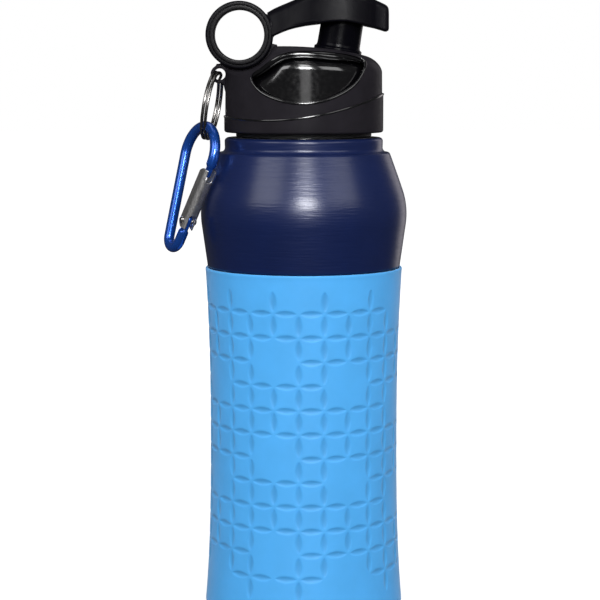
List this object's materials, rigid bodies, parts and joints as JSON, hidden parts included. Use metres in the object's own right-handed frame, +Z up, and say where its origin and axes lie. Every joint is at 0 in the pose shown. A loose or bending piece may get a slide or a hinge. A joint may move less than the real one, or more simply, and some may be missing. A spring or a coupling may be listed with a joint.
{
  "type": "sports bottle",
  "caption": "Insulated metal bottle in a silicone boot, with a screw cap that has a flip lever over a tilted spout, a finger ring, a split ring and a carabiner.",
  "frame": {"origin": "on the bottle's axis, at the flat base that it stands on", "axes": "+Z up along the bottle's axis; the spout leans towards +X, the finger ring and carabiner are on the -X side"},
  "size_m": [0.091, 0.0772, 0.2327],
  "materials": {
    "boot_silicone": "matte light blue silicone with a moulded pattern of shallow lens-shaped grooves",
    "navy_coat": "satin dark navy coat over fine turning lines",
    "bare_steel": "bare stainless steel inside",
    "shell_plastic": "fine-grained matte black moulding",
    "core_plastic": "glossy black moulding",
    "seal_silicone": "black silicone",
    "spout_plastic": "satin black moulding",
    "lever_plastic": "satin black moulding with fine grain",
    "plug_silicone": "translucent grey silicone",
    "bush_plastic": "satin black moulding",
    "nickel_wire": "polished nickel-plated wire",
    "blue_anodised": "glossy blue anodised aluminium",
    "gate_sheet": "brushed silver sheet",
    "rivet_steel": "polished rivet heads",
    "spring_wire": "spring steel wire"
  },
  "bodies": {
    "bottle": {"outer_vessel": "navy_coat", "steel_liner": "bare_steel", "silicone_boot": "boot_silicone"},
    "seal": {"cap_seal": "seal_silicone"},
    "cap": {"cap_core": "core_plastic", "cap_shell": "shell_plastic", "spout": "spout_plastic", "spout_seal": "seal_silicone", "pivot_bush_front": "bush_plastic", "pivot_bush_back": "bush_plastic"},
    "lever": {"flip_lever": "lever_plastic", "spout_plug": "plug_silicone"},
    "key_ring": {"split_ring": "nickel_wire"},
    "carabiner": {"carabiner_frame": "blue_anodised", "gate_rivet": "rivet_steel"},
    "gate": {"carabiner_gate": "gate_sheet", "gate_spring": "spring_wire"}
  },
  "joints": [
    {"name": "cap_rise", "type": "slide", "parent": "bottle", "child": "seal", "axis": [0, 0, 1], "range_m": [0, 0.00601]},
    {"name": "cap_turn", "type": "hinge", "parent": "seal", "child": "cap", "pos_m": [0, 0, 0.18], "axis": [0, 0, 1], "range_deg": [0, 540]},
    {"name": "lever_flip", "type": "hinge", "parent": "cap", "child": "lever", "pos_m": [-0.0239, 0, 0.2167], "axis": [0, -1, 0], "range_deg": [0, 110]},
    {"name": "ring_swing", "type": "hinge", "parent": "cap", "child": "key_ring", "pos_m": [-0.0313, 0, 0.2022], "axis": [0, 1, 0], "range_deg": [0, 75]},
    {"name": "carabiner_swing", "type": "hinge", "parent": "key_ring", "child": "carabiner", "pos_m": [-0.03625, -0.005, 0.17849], "axis": [0.1456, 0.989, -0.0257], "range_deg": [0, 60]},
    {"name": "gate_open", "type": "hinge", "parent": "carabiner", "child": "gate", "pos_m": [-0.0429, -0.01096, 0.14826], "axis": [-0.815, -0.5293, 0.2357], "range_deg": [0, 28], "stiffness_Nm_per_rad": 0.02, "springref_deg": -17.19}
  ],
  "couplings": [
    {"joint": "cap_rise", "follows": "cap_turn", "m_per_rad": 0.00063662}
  ]
}
